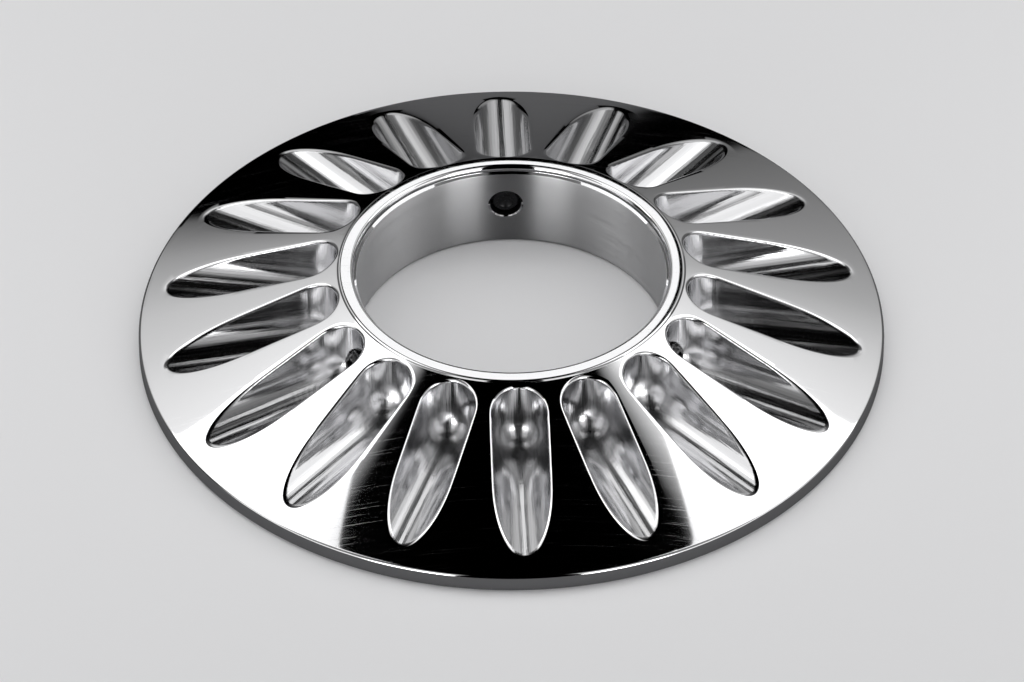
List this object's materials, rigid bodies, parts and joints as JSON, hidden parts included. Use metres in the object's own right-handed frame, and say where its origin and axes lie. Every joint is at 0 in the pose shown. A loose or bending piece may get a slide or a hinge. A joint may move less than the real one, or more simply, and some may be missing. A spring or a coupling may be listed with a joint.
{
  "type": "axle nut cover",
  "caption": "Polished conical ring cover with radial ball-end flutes, a beaded bore that passes over a hub nut, and radial set screws that grip it.",
  "frame": {"origin": "on the bore axis, at the back face that the cover rests on", "axes": "+Z along the bore axis, out of the fluted face; +Y along the axis of the first set screw, away from the bore"},
  "size_m": [0.11, 0.11, 0.0145],
  "materials": {
    "polished_aluminium": "mirror polished, with a satin turned bore",
    "black_oxide_steel": "black oxide"
  },
  "bodies": {
    "cover": {"cover_ring": "polished_aluminium"},
    "screw_1": {"set_screw_1": "black_oxide_steel"},
    "screw_2": {"set_screw_2": "black_oxide_steel"},
    "screw_3": {"set_screw_3": "black_oxide_steel"}
  },
  "joints": [
    {"name": "screw_1_feed", "type": "slide", "parent": "cover", "child": "screw_1", "axis": [0, -1, 0], "range_m": [-0.001, 0.002]},
    {"name": "screw_2_feed", "type": "slide", "parent": "cover", "child": "screw_2", "axis": [-0.866, 0.5, 0], "range_m": [-0.001, 0.002]},
    {"name": "screw_3_feed", "type": "slide", "parent": "cover", "child": "screw_3", "axis": [0.866, 0.5, 0], "range_m": [-0.001, 0.002]}
  ]
}
